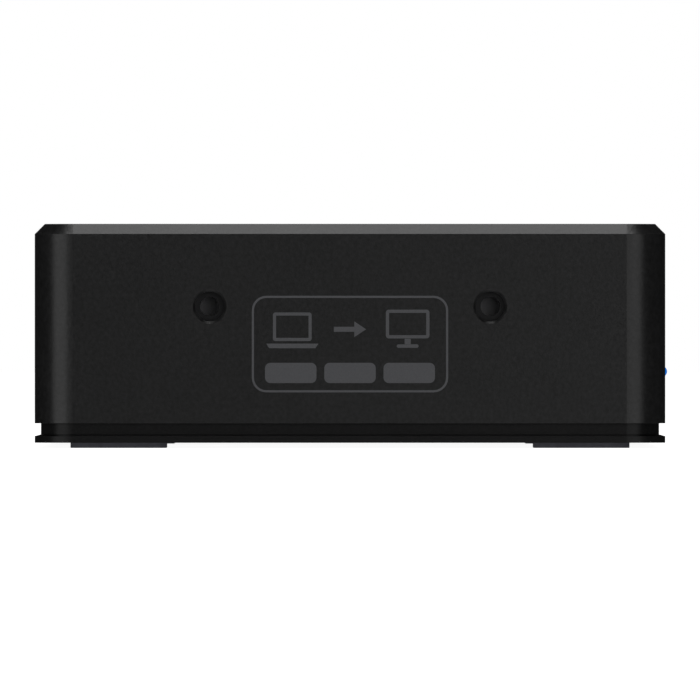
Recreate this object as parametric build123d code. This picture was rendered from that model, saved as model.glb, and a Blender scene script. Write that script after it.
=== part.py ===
from build123d import *

import os

# Laptop docking station: a long, low desktop box with sockets along both long sides.
# Millimetres. X is the length, -Y is the side that faces the user, +Z is up.
# The origin is under the middle of the dock, on the surface that the feet stand on.

# Overall size
LENGTH = 206.0
DEPTH = 81.0
HEIGHT = 28.8
CORNER = 5.0
TOP_CHAMFER = 1.3
FOOT_GAP = 0.7

# Casing
WALL = 2.0
FLANGE = 0.85
GROOVE = 1.65
GROOVE_INSET = 0.8
SHADOW_HEIGHT = 0.2
SHADOW_DEPTH = 0.35
FLOOR_TOP = 2.7
COVER_BOTTOM = FOOT_GAP + FLANGE + GROOVE
LIP_INSET = 2.1
LIP_WALL = 1.2
LIP_TOP = 5.0
SLIT = 0.1

# Port panels, which stand in notches in the cover's long walls
PANEL_LENGTH = 184.0
PANEL_SINK = 0.1
PANEL_EDGE = 1.5
FRONT_PANEL_TOP = 21.0
REAR_PANEL_TOP = 25.0
PANEL_BACK = 1.2
PORT_GAP = 0.3

# Feet
FOOT_SIZE = 12.4
FOOT_CORNER = 1.4
FOOT_X = 84.0
FOOT_Y = 29.8
FOOT_RECESS = 0.3
FOOT_SOFTENING = 0.1

# Mounting holes in the left end
MOUNT_SPACING = 36.0
MOUNT_HEIGHT = 18.2
MOUNT_RADIUS = 1.9
MOUNT_RIM = 0.3
INSERT_RADIUS = 2.8
INSERT_BORE = 1.25
INSERT_LENGTH = 5.0
MOUNT_WALL = 2.4

# Security slot in the right end
LOCK_WIDTH = 7.0
LOCK_HEIGHT = 3.2
LOCK_Z = 15.0

# Screws
SCREW_X = 94.5
SCREW_Y = 31.8
SCREW_SHANK = 1.2
SCREW_HEAD = 2.5
SCREW_HEAD_DEPTH = 1.4
COVER_BOSS = 3.5
BOARD_SCREW_X = 88.0
BOARD_SCREW_Y = 18.0
STANDOFF = 3.0

# Board
BOARD_LENGTH = 194.0
BOARD_DEPTH = 67.6
BOARD_LOW = 6.4
BOARD_TOP = 8.0
PROCESSOR_X = 20.0
PROCESSOR_Y = -4.0
HEATSINK = 36.0

# Front face
BUTTON_X = -74.0
BUTTON_Z = 11.6
BUTTON_RADIUS = 3.6
BUTTON_TRAVEL = 0.6
STEM_RADIUS = 1.5
STEM_LENGTH = 3.0
LIGHT_X = -88.0
LIGHT_Z = 9.84
LIGHT_RADIUS = 0.6
LIGHT_PROUD = 0.35
LIGHT_RISE = 0.3
LIGHT_TAIL = -33.8
FRONT_USB_X = (8.0, 32.0)
AUDIO_X = (62.0, 77.0)
AUDIO_RADIUS = 1.8
AUDIO_DEPTH = 12.0
AUDIO_Z = 10.7

# Rear face
DC_X = 78.0
UPSTREAM_X = 58.0
VIDEO_X = (35.0, 10.0)
NETWORK_X = -17.0
USB_STACK_X = (-43.0, -67.0)

# Sockets: width, height and depth of their outer shells
SHEET = 0.3
USB_SIZE = (13.1, 5.7, 14.0)
STACK_SIZE = (13.1, 15.6, 17.0)
UPSTREAM_SIZE = (12.0, 12.6, 18.0)
VIDEO_1_SIZE = (15.0, 6.2, 12.0)
VIDEO_2_SIZE = (17.6, 6.6, 13.0)
NETWORK_SIZE = (16.0, 13.5, 21.0)
DC_SIZE = (9.0, 11.0, 14.0)
TONGUE_SINK = 1.7

FRONT = -DEPTH / 2 + PANEL_SINK
REAR = DEPTH / 2 - PANEL_SINK
RIM_FRONT = -DEPTH / 2 + WALL + PANEL_BACK + 0.3
RIM_BACK = RIM_FRONT + 0.8

nodes = {}


# ---------------------------------------------------------------- helpers

def block(x, y, z):
    """Box between a low and a high limit on each axis."""
    size = [high - low for low, high in (x, y, z)]
    middle = [(high + low) / 2 for low, high in (x, y, z)]
    return Pos(*middle) * Box(*size)


def slab(inset, low, high):
    """Plate with the dock's rounded outline, drawn in by inset."""
    outline = RectangleRounded(LENGTH - 2 * inset, DEPTH - 2 * inset, CORNER - inset)
    return extrude(Pos(0, 0, low) * outline, high - low)


def rod(axis, radius, low, high, at):
    """Round bar along one axis; at gives its place on the other two axes."""
    first, second = at
    middle = (low + high) / 2
    bar = Cylinder(radius, high - low)
    if axis == "X":
        return Pos(middle, first, second) * Rot(0, 90, 0) * bar
    if axis == "Y":
        return Pos(first, middle, second) * Rot(90, 0, 0) * bar
    return Pos(first, second, middle) * bar


def corners(x, y):
    """The four points that mirror one another about both middle lines."""
    return [(side_x * x, side_y * y) for side_x in (-1, 1) for side_y in (-1, 1)]


def group(solids):
    """Several separate solids kept as one node."""
    return Compound(children=list(solids))


def add(name, shape):
    nodes[name] = shape


# ---------------------------------------------------------------- casing

def panel_notch(side, top):
    """Notch for a port panel, open at the cover's lower edge."""
    width = PANEL_LENGTH / 2 + SLIT
    inner, outer = DEPTH / 2 - WALL - 1, DEPTH / 2 + 1
    span = (inner, outer) if side > 0 else (-outer, -inner)
    return block((-width, width), span, (COVER_BOTTOM - 1, top + SLIT))


def top_cover():
    """Five-sided cover with screw bosses, insert bosses, two notches and the end openings."""
    cover = slab(0, COVER_BOTTOM, HEIGHT)
    cover = chamfer(cover.faces().sort_by(Axis.Z)[-1].outer_wire().edges(), TOP_CHAMFER)
    cover -= slab(WALL, COVER_BOTTOM - 1, HEIGHT - WALL)
    roof = HEIGHT - WALL / 2
    for x, y in corners(SCREW_X, SCREW_Y):
        cover += rod("Z", COVER_BOSS, COVER_BOTTOM, roof, (x, y))
        cover -= rod("Z", SCREW_SHANK + 0.02, COVER_BOTTOM - 1, 14.0, (x, y))
    end = -LENGTH / 2
    pocket = end + MOUNT_WALL
    tail = pocket + INSERT_LENGTH
    for y in (-MOUNT_SPACING / 2, MOUNT_SPACING / 2):
        at = (y, MOUNT_HEIGHT)
        cover += rod("X", INSERT_RADIUS + 1.4, end + WALL / 2, tail, at)
        cover -= rod("X", INSERT_RADIUS, pocket, tail + 1, at)
        cover -= rod("X", MOUNT_RADIUS, end - 1, pocket + 1, at)
        rim = Cone(MOUNT_RADIUS + MOUNT_RIM, MOUNT_RADIUS, MOUNT_RIM)
        cover -= Pos(end + MOUNT_RIM / 2, *at) * Rot(0, 90, 0) * rim
    slot = block(
        (LENGTH / 2 - WALL - 1, LENGTH / 2 + 1),
        (-LOCK_WIDTH / 2, LOCK_WIDTH / 2),
        (LOCK_Z - LOCK_HEIGHT / 2, LOCK_Z + LOCK_HEIGHT / 2),
    )
    cover -= fillet(slot.edges().filter_by(Axis.X), 1.0)
    cover -= panel_notch(-1, FRONT_PANEL_TOP)
    cover -= panel_notch(1, REAR_PANEL_TOP)
    return cover


def vent_slots():
    """Two rows of slots under the board's warm parts."""
    slots = []
    for centre_x in (-38.0, 20.0):
        for step in range(-4, 5):
            slot = SlotOverall(16.0, 1.8, rotation=90)
            x = centre_x + 5.0 * step
            slots.append(extrude(Pos(x, 0, 0) * slot, FLOOR_TOP + 1))
    return slots


def base_plate():
    """Floor with the flange, the groove and its shadow line, the lip, standoffs and recesses."""
    base = slab(0, FOOT_GAP, FOOT_GAP + FLANGE)
    base += slab(GROOVE_INSET, FOOT_GAP, COVER_BOTTOM)
    base += slab(LIP_INSET, FOOT_GAP, LIP_TOP)
    base -= slab(LIP_INSET + LIP_WALL, FLOOR_TOP, LIP_TOP + 1)
    shadow = (FOOT_GAP + FLANGE, FOOT_GAP + FLANGE + SHADOW_HEIGHT)
    base -= slab(0, *shadow) - slab(GROOVE_INSET + SHADOW_DEPTH, *shadow)
    for x, y in corners(SCREW_X, SCREW_Y):
        base += rod("Z", COVER_BOSS, FLOOR_TOP - 0.5, COVER_BOTTOM, (x, y))
        base -= rod("Z", SCREW_SHANK + 0.2, 0, COVER_BOTTOM + 1, (x, y))
        base -= rod("Z", SCREW_HEAD + 0.2, 0, FOOT_GAP + SCREW_HEAD_DEPTH, (x, y))
    for x, y in corners(BOARD_SCREW_X, BOARD_SCREW_Y):
        base += rod("Z", STANDOFF, FLOOR_TOP - 0.5, BOARD_LOW, (x, y))
        base -= rod("Z", SCREW_SHANK + 0.02, FLOOR_TOP, BOARD_LOW + 1, (x, y))
    for x, y in corners(FOOT_X, FOOT_Y):
        recess = RectangleRounded(FOOT_SIZE + 0.4, FOOT_SIZE + 0.4, FOOT_CORNER + 0.2)
        base -= extrude(Pos(x, y, 0) * recess, FOOT_GAP + FOOT_RECESS)
    for slot in vent_slots():
        base -= slot
    return base


def foot():
    """Square rubber pad with softened lower edges."""
    outline = RectangleRounded(FOOT_SIZE, FOOT_SIZE, FOOT_CORNER)
    pad = extrude(outline, FOOT_GAP + FOOT_RECESS)
    return fillet(pad.faces().sort_by(Axis.Z)[0].outer_wire().edges(), FOOT_SOFTENING)


def panel(side, top):
    """Port panel: the plate in the notch, and a wider flange behind the cover's wall."""
    half = PANEL_LENGTH / 2
    outer, middle = DEPTH / 2 - PANEL_SINK, DEPTH / 2 - WALL
    inner = middle - PANEL_BACK
    plate = block((-half, half), (middle - 0.05, outer), (COVER_BOTTOM + 0.05, top))
    flange = block(
        (-half - PANEL_EDGE, half + PANEL_EDGE),
        (inner, middle - 0.05),
        (LIP_TOP + SLIT, min(top + PANEL_EDGE, HEIGHT - WALL - SLIT)),
    )
    whole = plate + flange
    return whole if side > 0 else Rot(0, 0, 180) * whole


def cut_outline(x, y, width, low, height):
    """Square cut-out for a socket that stands on the board, with clearance all round."""
    half = width / 2 + PORT_GAP
    low = BOARD_TOP + low
    return block((x - half, x + half), (y - 5, y + 5), (low - PORT_GAP, low + height + PORT_GAP))


def front_panel():
    plate = panel(-1, FRONT_PANEL_TOP)
    for x in FRONT_USB_X:
        plate -= cut_outline(x, FRONT, USB_SIZE[0], 0.2, USB_SIZE[1])
    for x in AUDIO_X:
        plate -= rod("Y", 2.7, FRONT - 5, FRONT + 5, (x, AUDIO_Z))
    plate -= rod("Y", BUTTON_RADIUS + 0.3, FRONT - 5, FRONT + 5, (BUTTON_X, BUTTON_Z))
    plate -= rod("Y", LIGHT_RADIUS + 0.05, FRONT - 5, FRONT + 5, (LIGHT_X, LIGHT_Z))
    return plate


def rear_panel():
    plate = panel(1, REAR_PANEL_TOP)
    plate -= cut_outline(DC_X, REAR, DC_SIZE[0], 0, DC_SIZE[1])
    plate -= cut_outline(UPSTREAM_X, REAR, UPSTREAM_SIZE[0], 0.2, UPSTREAM_SIZE[1])
    plate -= cut_outline(VIDEO_X[0], REAR, VIDEO_1_SIZE[0], 0.3, VIDEO_1_SIZE[1])
    plate -= cut_outline(VIDEO_X[1], REAR, VIDEO_2_SIZE[0], 0.3, VIDEO_2_SIZE[1])
    plate -= cut_outline(NETWORK_X, REAR, NETWORK_SIZE[0], 0, NETWORK_SIZE[1])
    for x in USB_STACK_X:
        plate -= cut_outline(x, REAR, STACK_SIZE[0], 0.2, STACK_SIZE[1])
    return plate


def cross_cut(at, low):
    """Crossed recess in the top of a screw head."""
    x, y = at
    return block((x - 1.3, x + 1.3), (y - 0.3, y + 0.3), (low, low + 0.8)) + block(
        (x - 0.3, x + 0.3), (y - 1.3, y + 1.3), (low, low + 0.8)
    )


def base_screws():
    """Flat-headed screws driven from below."""
    screws = []
    for at in corners(SCREW_X, SCREW_Y):
        head_low = FOOT_GAP + 0.2
        head_high = FOOT_GAP + SCREW_HEAD_DEPTH
        screw = rod("Z", SCREW_HEAD, head_low, head_high, at)
        screw += rod("Z", SCREW_SHANK, head_high - 0.1, 12.5, at)
        screws.append(screw - cross_cut(at, head_low - 0.1))
    return group(screws)


def board_screws():
    """Pan-headed screws that hold the board on the standoffs."""
    screws = []
    for at in corners(BOARD_SCREW_X, BOARD_SCREW_Y):
        screw = rod("Z", SCREW_HEAD, BOARD_TOP, BOARD_TOP + 1.5, at)
        screw += rod("Z", SCREW_SHANK, FLOOR_TOP + 0.4, BOARD_TOP + 0.1, at)
        screws.append(screw - cross_cut(at, BOARD_TOP + 0.9))
    return group(screws)


def left_mount_inserts():
    """Blind threaded inserts, pushed into the cover's bosses from inside."""
    low = -LENGTH / 2 + MOUNT_WALL
    inserts = []
    for y in (-MOUNT_SPACING / 2, MOUNT_SPACING / 2):
        at = (y, MOUNT_HEIGHT)
        insert = rod("X", INSERT_RADIUS - 0.02, low + 0.02, low + INSERT_LENGTH, at)
        inserts.append(insert - rod("X", INSERT_BORE, low - 1, low + INSERT_LENGTH - 1, at))
    return group(inserts)


def lock_slot_plate():
    """Steel plate that stiffens the wall round the security slot."""
    inner = LENGTH / 2 - WALL
    plate = block((inner - 1.02, inner - 0.02), (-9, 9), (LOCK_Z - 6, LOCK_Z + 6))
    half_width, half_height = LOCK_WIDTH / 2 + 0.1, LOCK_HEIGHT / 2 + 0.1
    return plate - block(
        (inner - 2, inner + 1),
        (-half_width, half_width),
        (LOCK_Z - half_height, LOCK_Z + half_height),
    )


# ---------------------------------------------------------------- button and light

def power_button():
    """Round cap with a rim behind the panel that keeps it in."""
    at = (BUTTON_X, BUTTON_Z)
    cap = rod("Y", BUTTON_RADIUS, FRONT, RIM_FRONT + 0.1, at)
    front_edge = cap.edges().filter_by(GeomType.CIRCLE).sort_by(Axis.Y)[0]
    cap = fillet(front_edge, 0.3)
    return cap + rod("Y", BUTTON_RADIUS + 1.0, RIM_FRONT, RIM_BACK, at)


def switch_stem():
    """Round actuator between the cap and the inside of the switch."""
    return rod("Y", STEM_RADIUS, RIM_BACK, RIM_BACK + STEM_LENGTH, (BUTTON_X, BUTTON_Z))


def switch_body():
    """Push switch standing on the board's front edge."""
    low = RIM_BACK + 2 * BUTTON_TRAVEL + 0.1
    body = block((BUTTON_X - 3.1, BUTTON_X + 3.1), (low, low + 4.6), (BOARD_TOP, BUTTON_Z + 3.0))
    stop = RIM_BACK + STEM_LENGTH + 2 * BUTTON_TRAVEL
    return body - rod("Y", STEM_RADIUS + 0.3, low - 1, stop, (BUTTON_X, BUTTON_Z))


def led_light_pipe():
    """Clear rod with a domed end that stands just proud of the front."""
    tip = -DEPTH / 2 - LIGHT_PROUD
    at = (LIGHT_X, LIGHT_Z)
    dome_radius = (LIGHT_RADIUS**2 + LIGHT_RISE**2) / (2 * LIGHT_RISE)
    dome = Pos(LIGHT_X, tip + dome_radius, LIGHT_Z) * Sphere(dome_radius)
    dome = dome & rod("Y", LIGHT_RADIUS, tip - 1, tip + LIGHT_RISE, at)
    return dome + rod("Y", LIGHT_RADIUS, tip + LIGHT_RISE, LIGHT_TAIL, at)


def led_chip():
    """Lamp on the board behind the light pipe."""
    back = LIGHT_TAIL + 1.6
    return block((LIGHT_X - 1.0, LIGHT_X + 1.0), (LIGHT_TAIL, back), (BOARD_TOP, LIGHT_Z + 0.8))


# ---------------------------------------------------------------- sockets
# Each socket is drawn with its mouth at y = 0, its depth along +Y and the board's top at z = 0.

def socket_prism(half_width, low, high, start, end, trim):
    """Bar along the socket's depth, with its two lower corners trimmed."""
    corner_points = [(half_width, high), (half_width, low + trim), (half_width - trim, low)]
    mirrored = [(-x, z) for x, z in reversed(corner_points)]
    face = make_face(Polyline(*corner_points, *mirrored, close=True))
    return Pos(0, end, 0) * Rot(90, 0, 0) * extrude(face, end - start)


def tube(size, low, trim=0.0):
    """Folded sheet shell with a closed back."""
    width, height, depth = size
    half = width / 2
    top = low + height
    if trim:
        outer = socket_prism(half, low, top, 0, depth, trim)
        return outer - socket_prism(half - SHEET, low + SHEET, top - SHEET, -1, depth - SHEET, trim)
    outer = block((-half, half), (0, depth), (low, top))
    return outer - block((SHEET - half, half - SHEET), (-1, depth - SHEET), (low + SHEET, top - SHEET))


def usb_tongue(low, depth):
    """Blue contact tongue of one socket whose shell starts at low."""
    top = low + USB_SIZE[1] - SHEET - 0.7
    return block((-5.5, 5.5), (TONGUE_SINK, depth), (top - 1.9, top))


def usb_contacts(low):
    """Four long springs and five short pads under the tongue."""
    under = low + USB_SIZE[1] - SHEET - 0.7 - 1.9
    strips = []
    for x in (-3.5, -1.0, 1.0, 3.5):
        strips.append(block((x - 0.5, x + 0.5), (4.4, 9.6), (under - 0.2, under)))
    for x in (-4.2, -2.1, 0.0, 2.1, 4.2):
        strips.append(block((x - 0.35, x + 0.35), (2.2, 3.6), (under - 0.15, under)))
    return strips


def single_usb():
    width, height, depth = USB_SIZE
    low = 0.2
    half = width / 2 - SHEET
    back = (depth - SHEET - 3.0, depth - SHEET)
    insulator = block((-half, half), back, (low + SHEET, low + height - SHEET))
    insulator += usb_tongue(low, back[0] + 0.5)
    return {"shell": tube(USB_SIZE, low), "insulator": insulator, "contacts": group(usb_contacts(low))}


def usb_stack():
    """Two sockets one above the other in one tall shell."""
    width, height, depth = STACK_SIZE
    low = 0.2
    half = width / 2 - SHEET
    upper_low = low + height - USB_SIZE[1]
    lower_top = low + USB_SIZE[1]
    shell = tube(STACK_SIZE, low)
    shelf = block((-half, half), (0, 10.0), (lower_top - SHEET, upper_low + SHEET))
    shelf -= block((-half - 1, half + 1), (SHEET, 11.0), (lower_top, upper_low))
    shell += shelf
    back = (depth - SHEET - 5.0, depth - SHEET)
    insulator = block((-half, half), back, (low + SHEET, low + height - SHEET))
    contacts = []
    for start in (low, upper_low):
        insulator += usb_tongue(start, back[0] + 0.5)
        contacts += usb_contacts(start)
    core = (lower_top + 0.05, upper_low - 0.05)
    insulator += block((-half + 0.05, half - 0.05), (SHEET + 0.05, back[0] + 0.5), core)
    return {"shell": shell, "insulator": insulator, "contacts": group(contacts)}


def upstream_port():
    """Square socket with a smaller bay on top, for the lead to the laptop."""
    width, height, depth = UPSTREAM_SIZE
    low = 0.2
    half = width / 2 - SHEET
    insulator = block((-half, half), (0.4, depth - SHEET), (low + SHEET, low + height - SHEET))
    insulator -= block((-4.25, 4.25), (-1, 9.4), (low + 0.9, low + 8.7))
    insulator -= block((-2.9, 2.9), (-1, 9.4), (low + 8.6, low + 11.6))
    insulator += block((-2.8, 2.8), (TONGUE_SINK, 9.5), (low + 3.0, low + 6.2))
    insulator += block((-2.3, 2.3), (TONGUE_SINK, 9.5), (low + 9.5, low + 10.5))
    contacts = []
    for x in (-1.25, 1.25):
        for z_low, z_high in ((low + 6.2, low + 6.4), (low + 2.8, low + 3.0)):
            contacts.append(block((x - 0.4, x + 0.4), (2.6, 8.6), (z_low, z_high)))
    for x in (-1.6, -0.8, 0.0, 0.8, 1.6):
        contacts.append(block((x - 0.2, x + 0.2), (2.2, 8.0), (low + 10.5, low + 10.65)))
    return {"shell": tube(UPSTREAM_SIZE, low), "insulator": insulator, "contacts": group(contacts)}


def video_out(size, cut, tongue, pitch, count):
    """Flat video socket with a row of fine contacts on a central tongue."""
    width, height, depth = size
    low = 0.3
    half = width / 2 - SHEET - 0.02
    middle = low + height / 2
    back = (depth - SHEET - 3.5, depth - SHEET)
    insulator = block((-half, half), back, (low + SHEET + cut + 0.02, low + height - SHEET))
    reach = (TONGUE_SINK, back[0] + 0.5)
    insulator += block((-tongue / 2, tongue / 2), reach, (middle - 0.5, middle + 0.5))
    contacts = []
    for step in range(count):
        x = pitch * (step - (count - 1) / 2)
        for z_low, z_high in ((middle + 0.5, middle + 0.62), (middle - 0.62, middle - 0.5)):
            contacts.append(block((x - 0.2, x + 0.2), (2.0, 7.0), (z_low, z_high)))
    return {"shell": tube(size, low, cut), "insulator": insulator, "contacts": group(contacts)}


def network_jack():
    """Shielded network socket with a latch notch, eight springs and two lights."""
    width, height, depth = NETWORK_SIZE
    half = width / 2 - SHEET
    cavity = (2.6, 10.6)
    shield = tube(NETWORK_SIZE, 0)
    housing = block((-half, half), (0.4, depth - SHEET), (SHEET, height - SHEET))
    housing -= block((-5.9, 5.9), (-1, 14.0), cavity)
    housing -= block((-3.1, 3.1), (-1, 14.0), (1.0, cavity[0] + 0.1))
    lights = []
    for side in (-1, 1):
        x = sorted((side * 4.6, side * 7.0))
        slot = (tuple(x), (-1, depth), (11.0, 12.6))
        housing -= block(*slot)
        lights.append(block((x[0] + 0.05, x[1] - 0.05), (0.3, depth - 2), (11.05, 12.55)))
    contacts = []
    for step in range(8):
        x = 1.02 * (step - 3.5)
        wire = Pos(x, 8.0, cavity[1] - 1.35) * Rot(-14, 0, 0) * Box(0.45, 9.0, 0.3)
        contacts.append(wire)
    return {"shield": shield, "housing": housing, "contacts": group(contacts), "lights": group(lights)}


def dc_jack():
    """Round power inlet with its centre pin and side spring."""
    width, height, depth = DC_SIZE
    centre = 6.0
    housing = block((-width / 2, width / 2), (0, depth), (0, height))
    housing = fillet(housing.edges().filter_by(Axis.Y).sort_by(Axis.Z)[-2:], 2.0)
    housing -= rod("Y", 3.25, -1, 10.0, (0, centre))
    housing -= block((-0.8, 0.8), (2.5, 9.0), (centre - 4.0, centre - 3.0))
    pin = rod("Y", 1.0, 1.0, 12.0, (0, centre))
    pin = fillet(pin.edges().filter_by(GeomType.CIRCLE).sort_by(Axis.Y)[0], 0.6)
    housing -= rod("Y", 1.0, 9.0, 12.0, (0, centre))
    spring = block((-0.7, 0.7), (2.6, 8.9), (centre - 3.7, centre - 3.4))
    return {"housing": housing, "pin": pin, "spring": spring}


def audio_jack(x):
    """Round 3.5 mm socket with a collar that passes through the panel."""
    body = block((x - 3.1, x + 3.1), (FRONT + 3.4, FRONT + 14.5), (BOARD_TOP, AUDIO_Z + 2.8))
    body += rod("Y", 2.4, FRONT, FRONT + 4.0, (x, AUDIO_Z))
    body -= rod("Y", AUDIO_RADIUS, FRONT - 1, FRONT + AUDIO_DEPTH, (x, AUDIO_Z))
    for low in (5.0, 8.4):
        body -= block((x + 1.5, x + 2.6), (FRONT + low, FRONT + low + 1.6), (AUDIO_Z - 0.7, AUDIO_Z + 0.7))
    return body


def audio_jack_contacts():
    strips = []
    for x in AUDIO_X:
        for low in (5.0, 8.4):
            span = (FRONT + low + 0.2, FRONT + low + 1.4)
            strips.append(block((x + 2.1, x + 2.5), span, (AUDIO_Z - 0.6, AUDIO_Z + 0.6)))
    return group(strips)


def add_socket(name, pieces, x, side):
    """Put a socket's pieces on the board, with the mouth at the front or the rear."""
    turn = Rot(0, 0, 0) if side == "front" else Rot(0, 0, 180)
    face = FRONT if side == "front" else REAR
    for piece, shape in pieces.items():
        if isinstance(shape, Compound) and len(shape.children) > 1:
            solids = [Pos(x, face, BOARD_TOP) * turn * child for child in shape.children]
            add(f"{name}_{piece}", group(solids))
        else:
            add(f"{name}_{piece}", Pos(x, face, BOARD_TOP) * turn * shape)


# ---------------------------------------------------------------- board


def main_board():
    board = block(
        (-BOARD_LENGTH / 2, BOARD_LENGTH / 2), (-BOARD_DEPTH / 2, BOARD_DEPTH / 2), (BOARD_LOW, BOARD_TOP)
    )
    for x, y in corners(SCREW_X, SCREW_Y):
        board -= Pos(x, y, BOARD_TOP) * Box(2 * COVER_BOSS + 2, 2 * COVER_BOSS + 2, 10)
    for x, y in corners(BOARD_SCREW_X, BOARD_SCREW_Y):
        board -= rod("Z", SCREW_SHANK + 0.3, 0, 20, (x, y))
    for side in (-1, 1):
        board -= rod("Z", 1.1, 0, 20, (PROCESSOR_X + side * 15.5, PROCESSOR_Y - side * 15.5))
    return board


def chip(x, y, side, height):
    half = side / 2
    return block((x - half, x + half), (y - half, y + half), (BOARD_TOP, BOARD_TOP + height))


def thermal_pad():
    low = BOARD_TOP + 2.0
    return block(
        (PROCESSOR_X - 11, PROCESSOR_X + 11), (PROCESSOR_Y - 11, PROCESSOR_Y + 11), (low, low + 0.5)
    )


def heatsink():
    """Finned aluminium block over the video processor."""
    low = BOARD_TOP + 2.5
    half = HEATSINK / 2
    across = (PROCESSOR_X - half, PROCESSOR_X + half)
    along = (PROCESSOR_Y - half, PROCESSOR_Y + half)
    sink = block(across, along, (low, low + 9))
    for step in range(7):
        x = PROCESSOR_X + 4.8 * (step - 3)
        sink -= block((x - 1.6, x + 1.6), (along[0] - 1, along[1] + 1), (low + 2, low + 10))
    for side in (-1, 1):
        at = (PROCESSOR_X + side * 15.5, PROCESSOR_Y - side * 15.5)
        sink -= rod("Z", 2.6, low + 1.6, low + 10, at)
        sink -= rod("Z", 1.1, low - 1, low + 3, at)
    return sink


def heatsink_pins():
    pins = []
    low = BOARD_TOP + 2.5
    for side in (-1, 1):
        at = (PROCESSOR_X + side * 15.5, PROCESSOR_Y - side * 15.5)
        pin = rod("Z", 1.0, BOARD_LOW - 1.4, low + 1.8, at)
        pins.append(pin + rod("Z", 2.2, low + 1.6, low + 3.0, at))
    return group(pins)


def board_capacitors():
    places = [(62.0, 10.0), (70.0, 10.0), (78.0, 10.0), (-78.0, -4.0), (-70.0, -4.0)]
    return group(rod("Z", 3.1, BOARD_TOP, BOARD_TOP + 7.0, at) for at in places)


def power_inductors():
    places = [(60.0, -4.0), (70.0, -4.0), (80.0, -4.0)]
    return group(chip(x, y, 7.0, 4.0) for x, y in places)


def crystals():
    places = [(-6.0, -14.0), (-44.0, -14.0), (44.0, -14.0)]
    return group(
        block((x - 1.6, x + 1.6), (y - 1.25, y + 1.25), (BOARD_TOP, BOARD_TOP + 0.8)) for x, y in places
    )


# ---------------------------------------------------------------- the whole dock

add("top_cover", top_cover())
add("base_plate", base_plate())
add("front_panel", front_panel())
add("rear_panel", rear_panel())
for foot_x, foot_y in corners(FOOT_X, FOOT_Y):
    row = "front" if foot_y < 0 else "rear"
    end_name = "left" if foot_x < 0 else "right"
    add(f"foot_{row}_{end_name}", Pos(foot_x, foot_y, 0) * foot())
add("base_screws", base_screws())
add("left_mount_inserts", left_mount_inserts())
add("lock_slot_plate", lock_slot_plate())
add("power_button", power_button())
add("switch_stem", switch_stem())
add("switch_body", switch_body())
add("led_light_pipe", led_light_pipe())
add("led_chip", led_chip())

for number, socket_x in enumerate(FRONT_USB_X, start=1):
    add_socket(f"front_usb_{number}", single_usb(), socket_x, "front")
add("headphone_jack", audio_jack(AUDIO_X[0]))
add("microphone_jack", audio_jack(AUDIO_X[1]))
add("audio_jack_contacts", audio_jack_contacts())

for number, socket_x in enumerate(USB_STACK_X, start=1):
    add_socket(f"usb_stack_{number}", usb_stack(), socket_x, "rear")
add_socket("upstream_port", upstream_port(), UPSTREAM_X, "rear")
add_socket("video_out_1", video_out(VIDEO_1_SIZE, 1.2, 11.6, 1.0, 10), VIDEO_X[0], "rear")
add_socket("video_out_2", video_out(VIDEO_2_SIZE, 0.0, 13.0, 1.1, 10), VIDEO_X[1], "rear")
add_socket("network_jack", network_jack(), NETWORK_X, "rear")
add_socket("dc_jack", dc_jack(), DC_X, "rear")

add("main_board", main_board())
add("board_screws", board_screws())
add("video_processor", chip(PROCESSOR_X, PROCESSOR_Y, 23.0, 2.0))
add("thermal_pad", thermal_pad())
add("heatsink", heatsink())
add("heatsink_pins", heatsink_pins())
add("hub_controller", chip(-54.0, 2.0, 12.0, 1.0))
add("network_controller", chip(-22.0, 0.0, 9.0, 0.9))
add("network_transformer", chip(-22.0, 12.0, 7.0, 5.0))
add("board_capacitors", board_capacitors())
add("power_inductors", power_inductors())
add("crystals", crystals())

os.makedirs("parts", exist_ok=True)
for node_name, node_shape in nodes.items():
    export_step(node_shape, f"parts/{node_name}.step")
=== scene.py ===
import math

import bpy
from mathutils import Matrix, Vector


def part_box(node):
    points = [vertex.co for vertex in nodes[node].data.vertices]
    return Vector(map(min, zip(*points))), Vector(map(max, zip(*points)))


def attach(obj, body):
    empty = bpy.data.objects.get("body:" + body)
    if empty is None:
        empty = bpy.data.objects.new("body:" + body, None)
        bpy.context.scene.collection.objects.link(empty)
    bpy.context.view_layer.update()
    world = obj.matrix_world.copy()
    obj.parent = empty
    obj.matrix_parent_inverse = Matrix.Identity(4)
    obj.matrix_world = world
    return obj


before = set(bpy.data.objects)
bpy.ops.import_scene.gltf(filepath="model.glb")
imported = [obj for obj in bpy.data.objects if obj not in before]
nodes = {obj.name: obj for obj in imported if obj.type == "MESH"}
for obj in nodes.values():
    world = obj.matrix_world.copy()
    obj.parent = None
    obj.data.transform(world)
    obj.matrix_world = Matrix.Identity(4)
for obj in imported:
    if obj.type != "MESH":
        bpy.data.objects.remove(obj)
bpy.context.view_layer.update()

MM = 0.001


# ---------------------------------------------------------------- places read from the frame

def middle(node):
    """Centre of a CAD node's box."""
    low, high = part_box(node)
    return (low + high) / 2


def face_plane(node, axis, side):
    """Position of one face of a CAD node's box along an axis (0, 1 or 2)."""
    low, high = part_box(node)
    return high[axis] if side > 0 else low[axis]


# ---------------------------------------------------------------- material helpers

# The part of a noise's range that carries its blobs; beyond it the noise is held level.
NOISE_SPAN = (0.3, 0.7)
RANGE_SOCKETS = ("From Min", "From Max", "To Min", "To Max")


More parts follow.
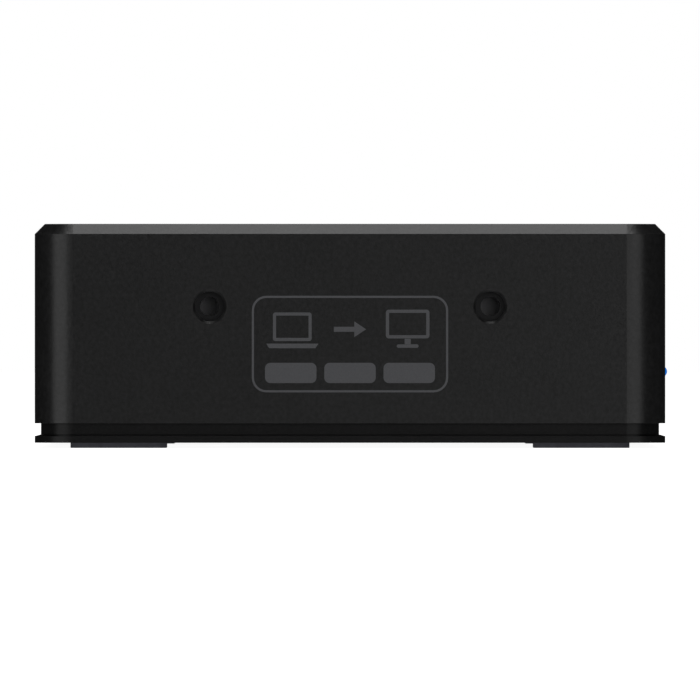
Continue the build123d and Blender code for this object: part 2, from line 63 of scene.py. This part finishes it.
class Surface:
    """A node material with one Principled shader and a few ways to give it texture."""

    def __init__(self, name, colour, roughness, metallic=0.0, specular=0.5):
        self.material = bpy.data.materials.new(name)
        self.material.use_nodes = True
        self.tree = self.material.node_tree
        self.shader = self.tree.nodes["Principled BSDF"]
        self.colour = colour
        self.shader.inputs["Base Color"].default_value = (*colour, 1)
        self.shader.inputs["Roughness"].default_value = roughness
        self.shader.inputs["Metallic"].default_value = metallic
        self.shader.inputs["Specular IOR Level"].default_value = specular
        self.roughness = roughness
        self.normal = None
        self.place = self.node("ShaderNodeTexCoord").outputs["Object"]

    def node(self, kind, **settings):
        """New node with its own settings."""
        made = self.tree.nodes.new(kind)
        for key, value in settings.items():
            setattr(made, key, value)
        return made

    def link(self, start, end):
        self.tree.links.new(start, end)

    def map_range(self, value, start, stop, first, last):
        """Carries a value from one range to another, clamped at both ends."""
        reach = self.node("ShaderNodeMapRange")
        for name, number in zip(RANGE_SOCKETS, (start, stop, first, last)):
            reach.inputs[name].default_value = number
        self.link(value, reach.inputs["Value"])
        return reach.outputs["Result"]

    def two_colours(self, factor, first, last, start=0.0, stop=1.0):
        """Base colour that runs from first to last as a factor goes from start to stop."""
        ramp = self.node("ShaderNodeValToRGB")
        for element, position, colour in zip(ramp.color_ramp.elements, (start, stop), (first, last)):
            element.position = position
            element.color = (*colour, 1)
        self.link(factor, ramp.inputs["Fac"])
        self.link(ramp.outputs["Color"], self.shader.inputs["Base Color"])

    def stretched(self, stretch):
        """Texture coordinates scaled by a different amount on each axis."""
        mapping = self.node("ShaderNodeMapping")
        mapping.inputs["Scale"].default_value = stretch
        self.link(self.place, mapping.inputs["Vector"])
        return mapping.outputs["Vector"]

    def noise(self, size, detail=3.0, stretch=(1, 1, 1)):
        """Noise whose blobs are about size metres across."""
        texture = self.node("ShaderNodeTexNoise")
        texture.inputs["Scale"].default_value = 1 / size
        texture.inputs["Detail"].default_value = detail
        texture.inputs["Roughness"].default_value = 0.55
        self.link(self.stretched(stretch), texture.inputs["Vector"])
        return texture.outputs["Fac"]

    def bump(self, height, depth):
        """Relief of the given depth in metres, added to what is there already."""
        relief = self.node("ShaderNodeBump")
        relief.inputs["Strength"].default_value = 1.0
        relief.inputs["Distance"].default_value = depth
        self.link(height, relief.inputs["Height"])
        if self.normal:
            self.link(self.normal, relief.inputs["Normal"])
        self.normal = relief.outputs["Normal"]
        self.link(self.normal, self.shader.inputs["Normal"])
        return self

    def round_edges(self, radius):
        """Softens the shading of sharp edges, as moulding and stamping do."""
        soft = self.node("ShaderNodeBevel", samples=6)
        soft.inputs["Radius"].default_value = radius
        self.normal = soft.outputs["Normal"]
        self.link(self.normal, self.shader.inputs["Normal"])
        return self

    def tint(self, factor, amount):
        """Varies the base colour between darker and lighter by a noise."""
        dark = [channel * (1 - amount) for channel in self.colour]
        light = [channel * (1 + amount) for channel in self.colour]
        self.two_colours(factor, dark, light, *NOISE_SPAN)
        return self

    def painted_light_along_x(self, start, stop, first, last):
        """Colour that changes along the dock's length, used to paint light and shade."""
        split = self.node("ShaderNodeSeparateXYZ")
        self.link(self.place, split.inputs["Vector"])
        self.two_colours(self.map_range(split.outputs["X"], start, stop, 0.0, 1.0), first, last)
        return self

    def polish(self, factor, spread):
        """Varies the roughness by a noise."""
        low, high = self.roughness - spread, self.roughness + spread
        self.link(self.map_range(factor, *NOISE_SPAN, low, high), self.shader.inputs["Roughness"])
        return self

    def glow(self, colour, strength):
        """Light given off by the surface."""
        self.shader.inputs["Emission Color"].default_value = (*colour, 1)
        self.shader.inputs["Emission Strength"].default_value = strength
        return self


def moulded(name, colour, roughness, grain, depth, specular=0.5, edge=0.10 * MM, mottle=0.3):
    """Moulded plastic: a spark-eroded grain over slow changes of tone and polish."""
    surface = Surface(name, colour, roughness, specular=specular)
    surface.round_edges(edge)
    surface.bump(surface.noise(grain, detail=4.0), depth)
    surface.tint(surface.noise(grain * 1.7, detail=2.0), mottle)
    surface.polish(surface.noise(9 * MM, detail=3.0), 0.012)
    return surface


def sheet_metal(name, colour, roughness, stretch, metallic=1.0):
    """Rolled or plated metal with fine drawn lines and a little cloudiness."""
    surface = Surface(name, colour, roughness, metallic=metallic)
    surface.round_edges(0.04 * MM)
    surface.bump(surface.noise(0.5 * MM, detail=1.0, stretch=stretch), 0.0004 * MM)
    surface.tint(surface.noise(2.5 * MM), 0.08)
    surface.polish(surface.noise(3 * MM, detail=1.0, stretch=stretch), 0.012)
    return surface


def rubber(name, colour):
    """Matt rubber with a coarse grain."""
    surface = Surface(name, colour, 0.62, specular=0.4)
    surface.round_edges(0.12 * MM)
    surface.bump(surface.noise(0.18 * MM, detail=5.0), 0.02 * MM)
    surface.tint(surface.noise(1.2 * MM), 0.12)
    surface.polish(surface.noise(4 * MM), 0.06)
    return surface


def ink(name, colour):
    """Screen-printed ink: slightly speckled, with the housing's grain showing through."""
    surface = Surface(name, colour, 0.55, specular=0.35)
    surface.bump(surface.noise(0.22 * MM, detail=3.0), 0.008 * MM)
    surface.tint(surface.noise(0.12 * MM, detail=2.0), 0.08)
    return surface


# ---------------------------------------------------------------- materials

housing = moulded("housing_black", (0.0098, 0.0098, 0.0101), 0.32, 0.30 * MM, 0.010 * MM,
                  edge=0.06 * MM, mottle=0.5)
base_black = moulded("base_black", (0.0076, 0.0076, 0.0079), 0.34, 0.20 * MM, 0.004 * MM,
                     specular=0.24, edge=0.05 * MM)
panel_black = moulded("panel_black", (0.0340, 0.0340, 0.0350), 0.40, 0.22 * MM, 0.008 * MM)
button_black = moulded("button_black", (0.026, 0.026, 0.027), 0.30, 0.12 * MM, 0.002 * MM,
                       edge=0.2 * MM)
socket_black = moulded("socket_black", (0.016, 0.016, 0.017), 0.38, 0.15 * MM, 0.004 * MM,
                       edge=0.06 * MM)
switch_black = moulded("switch_black", (0.018, 0.018, 0.019), 0.45, 0.15 * MM, 0.005 * MM,
                       edge=0.08 * MM)
chip_black = moulded("chip_black", (0.020, 0.020, 0.022), 0.55, 0.10 * MM, 0.006 * MM)
tongue_blue = moulded("tongue_blue", (0.012, 0.140, 0.600), 0.35, 0.15 * MM, 0.003 * MM,
                      edge=0.05 * MM, mottle=0.1)
ferrite_grey = moulded("ferrite_grey", (0.045, 0.045, 0.048), 0.6, 0.2 * MM, 0.02 * MM)
feet_rubber = rubber("feet_rubber", (0.125, 0.127, 0.150))
pad_rubber = rubber("pad_rubber", (0.28, 0.30, 0.33))
socket_steel = sheet_metal("socket_steel", (0.70, 0.70, 0.72), 0.30, (1, 0.08, 1), metallic=0.55)
slot_steel = sheet_metal("slot_steel", (0.50, 0.50, 0.52), 0.34, (1, 1, 0.08), metallic=0.6)
screw_black = sheet_metal("screw_black", (0.055, 0.055, 0.060), 0.33, (1, 1, 1))
insert_black = sheet_metal("insert_black", (0.030, 0.030, 0.032), 0.45, (0.1, 1, 1))
# Painted light and shade: the inserts are darker at the hole mouths (painted shade round the rim) and
# lighter deeper in (painted light on the bore floors).
insert_black.painted_light_along_x(-0.1000, -0.0980, (0.040, 0.040, 0.041), (0.12, 0.12, 0.124))
contact_gold = sheet_metal("contact_gold", (0.82, 0.56, 0.22), 0.26, (1, 0.1, 1), metallic=0.6)
heatsink_alloy = sheet_metal("heatsink_alloy", (0.66, 0.67, 0.69), 0.38, (1, 0.05, 1))
can_alloy = sheet_metal("can_alloy", (0.68, 0.69, 0.71), 0.30, (1, 1, 0.1))
board_green = moulded("board_green", (0.006, 0.050, 0.022), 0.30, 0.3 * MM, 0.004 * MM,
                      edge=0.05 * MM)
print_grey = ink("print_grey", (0.120, 0.122, 0.130))
print_light = ink("print_light", (0.48, 0.48, 0.49))

light_blue = Surface("light_blue", (0.010, 0.130, 0.420), 0.12).round_edges(0.05 * MM)
light_blue.tint(light_blue.noise(0.3 * MM), 0.1).glow((0.003, 0.16, 0.62), 0.75)
lamp_glass = Surface("lamp_glass", (0.42, 0.50, 0.34), 0.22).round_edges(0.1 * MM)
lamp_glass.tint(lamp_glass.noise(0.8 * MM), 0.12)
label_grey = moulded("label_grey", (0.030, 0.030, 0.032), 0.34, 0.3 * MM, 0.002 * MM,
                     edge=0.05 * MM)

BY_NAME = {
    "top_cover": housing,
    "base_plate": base_black,
    "front_panel": panel_black,
    "rear_panel": panel_black,
    "base_screws": screw_black,
    "board_screws": screw_black,
    "left_mount_inserts": insert_black,
    "lock_slot_plate": slot_steel,
    "power_button": button_black,
    "switch_stem": switch_black,
    "switch_body": switch_black,
    "headphone_jack": socket_black,
    "microphone_jack": socket_black,
    "heatsink_pins": socket_black,
    "led_light_pipe": light_blue,
    "led_chip": light_blue,
    "main_board": board_green,
    "video_processor": chip_black,
    "hub_controller": chip_black,
    "network_controller": chip_black,
    "thermal_pad": pad_rubber,
    "heatsink": heatsink_alloy,
    "network_transformer": ferrite_grey,
    "power_inductors": ferrite_grey,
    "board_capacitors": can_alloy,
    "crystals": can_alloy,
    "dc_jack_pin": contact_gold,
    "dc_jack_spring": contact_gold,
}


def surface_of(name):
    """The surface of a CAD node, by its name or by its ending."""
    if name in BY_NAME:
        return BY_NAME[name]
    if name.startswith("foot_"):
        return feet_rubber
    if name.endswith("_contacts"):
        return contact_gold
    if name.endswith("_lights"):
        return lamp_glass
    if name.endswith(("_shell", "_shield")):
        return socket_steel
    if "usb" in name and name.endswith("_insulator"):
        return tongue_blue
    return socket_black


for node_name, node_object in nodes.items():
    node_object.data.materials.clear()
    node_object.data.materials.append(surface_of(node_name).material)


# ---------------------------------------------------------------- flat printed shapes
# A shape is a list of closed loops in millimetres: the first is its outline, the rest are holes.

def rounded(x, y, width, height, radius, steps=6):
    """Closed rounded rectangle about a centre."""
    points = []
    for turn, (sx, sy) in enumerate(((1, 1), (-1, 1), (-1, -1), (1, -1))):
        cx, cy = x + sx * (width / 2 - radius), y + sy * (height / 2 - radius)
        for step in range(steps + 1):
            angle = math.pi / 2 * (turn + step / steps)
            points.append((cx + radius * math.cos(angle), cy + radius * math.sin(angle)))
    return points


def arc_band(x, y, radius, width, start, stop, steps=24):
    """Part of a ring between two angles in degrees."""
    angles = [math.radians(start + (stop - start) * s / steps) for s in range(steps + 1)]
    big, small = radius + width / 2, radius - width / 2
    outer = [(x + big * math.cos(a), y + big * math.sin(a)) for a in angles]
    inner = [(x + small * math.cos(a), y + small * math.sin(a)) for a in angles]
    return outer + inner[::-1]


def box_loop(x, y, half, low, high):
    """Closed square-cornered bar about x, between two heights relative to y."""
    return [(x - half, y + high), (x + half, y + high), (x + half, y + low), (x - half, y + low)]


def frame_shape(x, y, width, height, radius, line):
    """Outlined rounded rectangle."""
    inner = rounded(x, y, width - 2 * line, height - 2 * line, max(radius - line, 0.02))
    return [rounded(x, y, width, height, radius), inner]


def bar(x, y, width, height, radius=None):
    """Filled rounded rectangle, with round ends if no radius is given."""
    if radius is None:
        radius = min(width, height) / 2 * 0.98
    return [rounded(x, y, width, height, radius)]


def screen_icon(x, y, size):
    """Display on a stand."""
    return [
        frame_shape(x, y + 0.12 * size, size, 0.66 * size, 0.07 * size, 0.075 * size),
        [box_loop(x, y, 0.07 * size, -0.34 * size, -0.22 * size)],
        bar(x, y - 0.385 * size, 0.5 * size, 0.08 * size),
    ]


def laptop_icon(x, y, size):
    """Open laptop seen from the front."""
    base = [(x - 0.62 * size, y - 0.34 * size), (x + 0.62 * size, y - 0.34 * size),
            (x + 0.55 * size, y - 0.45 * size), (x - 0.55 * size, y - 0.45 * size)]
    return [frame_shape(x, y + 0.06 * size, 0.92 * size, 0.68 * size, 0.06 * size, 0.075 * size), [base]]


def arrow_icon(x, y, size):
    """Solid arrow along x."""
    tail, neck, tip = x - 0.45 * size, x + 0.12 * size, x + 0.45 * size
    half, shaft = 0.22 * size, 0.07 * size
    return [[[(tail, y - shaft), (neck, y - shaft), (neck, y - half), (tip, y),
              (neck, y + half), (neck, y + shaft), (tail, y + shaft)]]]


def headphone_icon(x, y, size):
    """Band over two ear pads."""
    return [
        [arc_band(x, y, 0.40 * size, 0.09 * size, 0, 180)],
        bar(x - 0.40 * size, y - 0.20 * size, 0.20 * size, 0.36 * size, 0.08 * size),
        bar(x + 0.40 * size, y - 0.20 * size, 0.20 * size, 0.36 * size, 0.08 * size),
    ]


def microphone_icon(x, y, size):
    """Capsule in a bow, on a stand."""
    return [
        bar(x, y + 0.14 * size, 0.26 * size, 0.52 * size),
        [arc_band(x, y + 0.08 * size, 0.29 * size, 0.07 * size, 180, 360)],
        [box_loop(x, y, 0.035 * size, -0.40 * size, -0.26 * size)],
        bar(x, y - 0.435 * size, 0.36 * size, 0.07 * size),
    ]


def plug_icon(x, y, size):
    """Flat data plug seen from above."""
    return [
        frame_shape(x, y + 0.26 * size, 0.42 * size, 0.34 * size, 0.03 * size, 0.06 * size),
        bar(x - 0.09 * size, y + 0.27 * size, 0.08 * size, 0.10 * size, 0.01 * size),
        bar(x + 0.09 * size, y + 0.27 * size, 0.08 * size, 0.10 * size, 0.01 * size),
        bar(x, y - 0.16 * size, 0.54 * size, 0.46 * size, 0.07 * size),
    ]


def network_icon(x, y, size):
    """Three boxes joined by lines."""
    line = 0.07 * size
    tree = [(-0.34, -0.10), (-0.34, 0.02), (-0.035, 0.02), (-0.035, 0.13), (0.035, 0.13), (0.035, 0.02),
            (0.34, 0.02), (0.34, -0.10), (0.27, -0.10), (0.27, -0.05), (-0.27, -0.05), (-0.27, -0.10)]
    return [
        [[(x + u * size, y + v * size) for u, v in tree]],
        frame_shape(x, y + 0.29 * size, 0.36 * size, 0.32 * size, 0.03 * size, line),
        frame_shape(x - 0.30 * size, y - 0.26 * size, 0.36 * size, 0.32 * size, 0.03 * size, line),
        frame_shape(x + 0.30 * size, y - 0.26 * size, 0.36 * size, 0.32 * size, 0.03 * size, line),
    ]


def direct_current_icon(x, y, size):
    """Solid line over a dashed line."""
    dashes = [bar(x + step * 0.32 * size, y - 0.12 * size, 0.22 * size, 0.09 * size, 0.01 * size)
              for step in (-1, 0, 1)]
    return [bar(x, y + 0.12 * size, 0.86 * size, 0.09 * size, 0.01 * size), *dashes]


def house_icon(x, y, size):
    """House outline, the common sign for indoor use."""
    outer = [(0, 0.5), (0.5, 0.08), (0.38, 0.08), (0.38, -0.42),
             (-0.38, -0.42), (-0.38, 0.08), (-0.5, 0.08)]
    inner = [(0, 0.37), (0.29, 0.12), (0.29, -0.33), (-0.29, -0.33), (-0.29, 0.12)]
    return [[[(x + u * size, y + v * size) for u, v in loop] for loop in (outer, inner)]]


def power_icon(x, y, size):
    """Open ring with a bar in its gap."""
    return [
        [arc_band(x, y, 0.36 * size, 0.09 * size, 125, 415)],
        bar(x, y + 0.26 * size, 0.09 * size, 0.42 * size),
    ]


def lock_icon(x, y, size):
    """Padlock: a body under a bow."""
    return [
        [arc_band(x, y + 0.14 * size, 0.20 * size, 0.08 * size, 0, 180)],
        bar(x, y - 0.12 * size, 0.62 * size, 0.46 * size, 0.06 * size),
    ]


INK_THICKNESS = 0.03 * MM
INK_SINK = 0.005 * MM


def printed(name, shapes, origin, right, surface, body, up=(0, 0, 1), thickness=INK_THICKNESS):
    """Turns flat shapes into a thin solid print that stands on a wall.

    origin is where the shapes' (0, 0) lies on the wall. right and up are the wall's directions for
    their x and y, so the wall's outward normal is right x up."""
    right, up = Vector(right), Vector(up)
    normal = right.cross(up)
    place = Matrix((right, up, normal)).transposed().to_4x4()
    place.translation = Vector(origin) + normal * (thickness / 2 - INK_SINK)
    holders = []
    for loops in shapes:
        curve = bpy.data.curves.new(name + "_curve", "CURVE")
        curve.dimensions = "2D"
        curve.fill_mode = "BOTH"
        curve.extrude = thickness / 2
        for points in loops:
            spline = curve.splines.new("POLY")
            spline.points.add(len(points) - 1)
            for target, (x, y) in zip(spline.points, points):
                target.co = (x * MM, y * MM, 0, 1)
            spline.use_cyclic_u = True
        holder = bpy.data.objects.new(name + "_holder", curve)
        bpy.context.scene.collection.objects.link(holder)
        holders.append(holder)
    bpy.context.view_layer.update()
    graph = bpy.context.evaluated_depsgraph_get()
    vertices, faces = [], []
    for holder in holders:
        mesh = bpy.data.meshes.new_from_object(holder.evaluated_get(graph))
        offset = len(vertices)
        vertices += [place @ vertex.co for vertex in mesh.vertices]
        faces += [[offset + index for index in polygon.vertices] for polygon in mesh.polygons]
        bpy.data.meshes.remove(mesh)
    for holder in holders:
        curve = holder.data
        bpy.data.objects.remove(holder)
        bpy.data.curves.remove(curve)
    mesh = bpy.data.meshes.new(name)
    mesh.from_pydata(vertices, [], faces)
    mesh.update()
    mesh.materials.append(surface.material)
    piece = bpy.data.objects.new(name, mesh)
    bpy.context.scene.collection.objects.link(piece)
    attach(piece, body)


# ---------------------------------------------------------------- prints on the dock

# Left end, in millimetres: the panel's outline, its centre's height, and its rows and columns
# from that centre.
LABEL_WIDTH = 25.2
LABEL_HEIGHT = 12.4
LABEL_CORNER = 1.87
LABEL_LINE = 0.28
LABEL_CENTRE = 13.37
SIGN_ROW = 1.9
SIGN_COLUMN = 7.4
BAR_ROW = -3.7
BAR_COLUMN = 7.6
BAR_SIZE = (6.6, 2.6, 0.7)


def end_label():
    """Outlined panel on the left end: laptop, arrow and display over three bars."""
    shapes = [frame_shape(0, 0, LABEL_WIDTH, LABEL_HEIGHT, LABEL_CORNER, LABEL_LINE)]
    shapes += laptop_icon(-SIGN_COLUMN, SIGN_ROW, 5.4)
    shapes += arrow_icon(0, SIGN_ROW, 4.6)
    shapes += screen_icon(SIGN_COLUMN, SIGN_ROW, 5.6)
    for step in (-1, 0, 1):
        shapes.append(bar(step * BAR_COLUMN, BAR_ROW, *BAR_SIZE))
    origin = (face_plane("top_cover", 0, -1), 0, LABEL_CENTRE * MM)
    printed("end_label", shapes, origin, (0, -1, 0), print_grey, "dock")


# Icons over the sockets: name, drawing, size in millimetres and the node that it stands over.
FRONT_ROW = 17.6 * MM
FRONT_ICONS = (
    ("icon_front_usb_1", plug_icon, 2.6, "front_usb_1_shell"),
    ("icon_front_usb_2", plug_icon, 2.6, "front_usb_2_shell"),
    ("icon_headphones", headphone_icon, 2.4, "headphone_jack"),
    ("icon_microphone", microphone_icon, 2.6, "microphone_jack"),
)
REAR_ROW = 23.2 * MM
REAR_ICONS = (
    ("icon_power_in", direct_current_icon, 3.0, "dc_jack_housing"),
    ("icon_upstream", laptop_icon, 2.4, "upstream_port_shell"),
    ("icon_video_1", screen_icon, 2.5, "video_out_1_shell"),
    ("icon_video_2", screen_icon, 2.5, "video_out_2_shell"),
    ("icon_network", network_icon, 2.6, "network_jack_shield"),
)


def panel_icons(icons, panel_node, side, height):
    """Prints a row of icons on the front (-1) or rear (1) panel."""
    wall = face_plane(panel_node, 1, side)
    for name, icon, size, node in icons:
        origin = (middle(node).x, wall, height)
        printed(name, icon(0, 0, size), origin, (-side, 0, 0), print_light, "dock")


def button_icon():
    """Sign on the moving cap."""
    centre = middle("power_button")
    origin = (centre.x, face_plane("power_button", 1, -1), centre.z)
    printed("icon_power", power_icon(0, 0, 3.2), origin, (1, 0, 0), print_light, "button")


SHEET_Y = 24 * MM
SHEET_THICKNESS = 0.06 * MM


def rating_label():
    """Label on the underside: an outline, the direct-current sign and the indoor-use house."""
    under = face_plane("base_plate", 2, -1)
    right, up = (1, 0, 0), (0, -1, 0)
    sheet = [[rounded(0, 0, 66, 17, 1.2)]]
    printed("underside_label", sheet, (0, SHEET_Y, under), right, label_grey, "dock",
            up=up, thickness=SHEET_THICKNESS)
    marks = [frame_shape(0, 0, 62, 13, 0.8, 0.2)]
    marks += direct_current_icon(-24, 0, 6.0)
    marks += house_icon(22, 0, 6.0)
    face = under - (SHEET_THICKNESS - INK_SINK)
    printed("underside_label_print", marks, (0, SHEET_Y, face), right, print_light, "dock",
            up=up)


LOCK_SIGN_RISE = 5.2 * MM


def lock_mark():
    """Padlock over the security slot in the right end."""
    origin = (face_plane("top_cover", 0, 1), 0, middle("lock_slot_plate").z + LOCK_SIGN_RISE)
    printed("icon_lock", lock_icon(0, 0, 3.0), origin, (0, 1, 0), print_grey, "dock")


end_label()
panel_icons(FRONT_ICONS, "front_panel", -1, FRONT_ROW)
panel_icons(REAR_ICONS, "rear_panel", 1, REAR_ROW)
button_icon()
lock_mark()
rating_label()


# ---------------------------------------------------------------- floor, light and camera

FLOOR_REACH = 12.0


def floor():
    """Pale floor, seen from above only, that throws no light back on the dock."""
    mesh = bpy.data.meshes.new("floor")
    corners = [(x * FLOOR_REACH, y * FLOOR_REACH, 0) for x, y in ((-1, -1), (1, -1), (1, 1), (-1, 1))]
    mesh.from_pydata(corners, [], [(0, 1, 2, 3)])
    surface = Surface("floor_pale", (0.86, 0.86, 0.86), 0.8, specular=0.2).glow((1, 1, 1), 1.0)
    distance = surface.node("ShaderNodeVectorMath", operation="LENGTH")
    surface.link(surface.place, distance.inputs[0])
    glow = surface.map_range(distance.outputs["Value"], 0.15, 0.7, 0.93, 1.0)
    surface.link(glow, surface.shader.inputs["Emission Strength"])
    clear = surface.node("ShaderNodeBsdfTransparent")
    side = surface.node("ShaderNodeNewGeometry").outputs["Backfacing"]
    mix = surface.node("ShaderNodeMixShader")
    surface.link(side, mix.inputs["Fac"])
    surface.link(surface.shader.outputs["BSDF"], mix.inputs[1])
    surface.link(clear.outputs["BSDF"], mix.inputs[2])
    surface.link(mix.outputs["Shader"], surface.tree.nodes["Material Output"].inputs["Surface"])
    mesh.materials.append(surface.material)
    plane = bpy.data.objects.new("floor", mesh)
    plane.visible_diffuse = False
    plane.visible_glossy = False
    plane.visible_shadow = False
    bpy.context.scene.collection.objects.link(plane)


# Strength of the room that the dock reflects: a level everywhere, and paler regions on top of it.
ROOM_LEVEL = 0.018
BELOW_STRENGTH = 0.34
ABOVE_SIDES_STRENGTH = 0.48
ABOVE_LEFT_STRENGTH = 0.20
BESIDE_STRENGTH = 0.40


def backdrop_light():
    """White backdrop. The dock reflects a dim room, paler below, beside it and above its sides."""
    world = bpy.data.worlds.new("studio")
    world.use_nodes = True
    tree = world.node_tree
    tree.nodes.clear()
    output = tree.nodes.new("ShaderNodeOutputWorld")
    white = tree.nodes.new("ShaderNodeBackground")
    white.inputs["Color"].default_value = (1, 1, 1, 1)
    room = tree.nodes.new("ShaderNodeBackground")
    place = tree.nodes.new("ShaderNodeTexCoord")
    split = tree.nodes.new("ShaderNodeSeparateXYZ")
    tree.links.new(place.outputs["Generated"], split.inputs["Vector"])

    def fade(axis, start, stop, strength=1.0):
        """Rises from nothing to strength as a ray's direction goes from start to stop."""
        reach = tree.nodes.new("ShaderNodeMapRange")
        reach.interpolation_type = "SMOOTHSTEP"
        for name, number in zip(RANGE_SOCKETS, (start, stop, 0.0, strength)):
            reach.inputs[name].default_value = number
        tree.links.new(split.outputs[axis], reach.inputs["Value"])
        return reach.outputs["Result"]

    def joined(operation, first, second):
        maths = tree.nodes.new("ShaderNodeMath")
        maths.operation = operation
        tree.links.new(first, maths.inputs[0])
        if isinstance(second, float):
            maths.inputs[1].default_value = second
        else:
            tree.links.new(second, maths.inputs[1])
        return maths.outputs["Value"]

    def both_sides(start, stop, strength):
        """The same fade towards the front and towards the rear."""
        return joined("MAXIMUM", fade("Y", start, stop, strength), fade("Y", -start, -stop, strength))

    sides = both_sides(0.55, 0.82, ABOVE_SIDES_STRENGTH)
    sides = joined("MAXIMUM", sides, fade("X", -0.05, -0.45, ABOVE_LEFT_STRENGTH))
    above = joined("MULTIPLY", sides, fade("Z", 0.22, 0.44))
    beside = both_sides(0.62, 0.92, BESIDE_STRENGTH)
    beside = joined("MAXIMUM", beside, fade("X", 0.84, 0.97, BESIDE_STRENGTH))
    desk = joined("MULTIPLY", beside, fade("Z", -0.06, -0.28))
    desk = joined("MAXIMUM", desk, fade("Z", -0.25, -0.55, BELOW_STRENGTH))
    level = joined("ADD", above, ROOM_LEVEL)
    tree.links.new(joined("ADD", level, desk), room.inputs["Strength"])
    choose = tree.nodes.new("ShaderNodeMixShader")
    ray = tree.nodes.new("ShaderNodeLightPath")
    tree.links.new(ray.outputs["Is Camera Ray"], choose.inputs["Fac"])
    tree.links.new(room.outputs["Background"], choose.inputs[1])
    tree.links.new(white.outputs["Background"], choose.inputs[2])
    tree.links.new(choose.outputs["Shader"], output.inputs["Surface"])
    bpy.context.scene.world = world


def softbox(name, place, target, width, height, radiance):
    """Rectangular lamp aimed at a point; radiance is its brightness as seen from the dock."""
    light = bpy.data.lights.new(name, "AREA")
    light.shape = "RECTANGLE"
    light.size, light.size_y = width, height
    light.energy = radiance * math.pi * width * height
    lamp = bpy.data.objects.new(name, light)
    lamp.location = place
    direction = Vector(target) - Vector(place)
    lamp.rotation_mode = "QUATERNION"
    lamp.rotation_quaternion = direction.to_track_quat("-Z", "Y")
    lamp.visible_camera = False
    bpy.context.scene.collection.objects.link(lamp)


# Side lamps stand round the left end: name, angle from its axis in degrees, width and radiance.
SIDE_LIGHTS = (
    ("rear_side_light", 38, 1.1, 1.06),
    ("front_side_light", -24, 1.0, 0.90),
)
SIDE_LIGHT_DISTANCE = 1.4
SIDE_LIGHT_RISE = 0.1
SIDE_LIGHT_HEIGHT = 0.9


def lights():
    """A long lamp overhead, two tall ones beside the left end and a faint one from below."""
    centre = (0, 0, 0.014)
    softbox("top_light", (0, 0, 1.3), centre, 1.5, 0.43, 2.9)
    for name, turn, width, radiance in SIDE_LIGHTS:
        angle = math.radians(turn)
        place = (-SIDE_LIGHT_DISTANCE * math.cos(angle), SIDE_LIGHT_DISTANCE * math.sin(angle),
                 SIDE_LIGHT_RISE)
        softbox(name, place, centre, width, SIDE_LIGHT_HEIGHT, radiance)
    softbox("low_light", (0, 0, -1.6), centre, 1.6, 1.2, 0.5)


CAMERA_DISTANCE = 3.6
CAMERA_HEIGHT = 12.61 * MM
VIEW_WIDTH = 89.80 * MM


def camera():
    """Level view of the left end through a very long lens."""
    end = face_plane("top_cover", 0, -1)
    data = bpy.data.cameras.new("camera")
    data.sensor_width = 36.0
    data.lens = data.sensor_width * CAMERA_DISTANCE / VIEW_WIDTH
    data.clip_end = 60.0
    holder = bpy.data.objects.new("camera", data)
    holder.location = (end - CAMERA_DISTANCE, 0, CAMERA_HEIGHT)
    holder.rotation_euler = (math.pi / 2, 0, -math.pi / 2)
    bpy.context.scene.collection.objects.link(holder)
    bpy.context.scene.camera = holder


floor()
backdrop_light()
lights()
camera()
bpy.context.scene.view_settings.view_transform = "Standard"
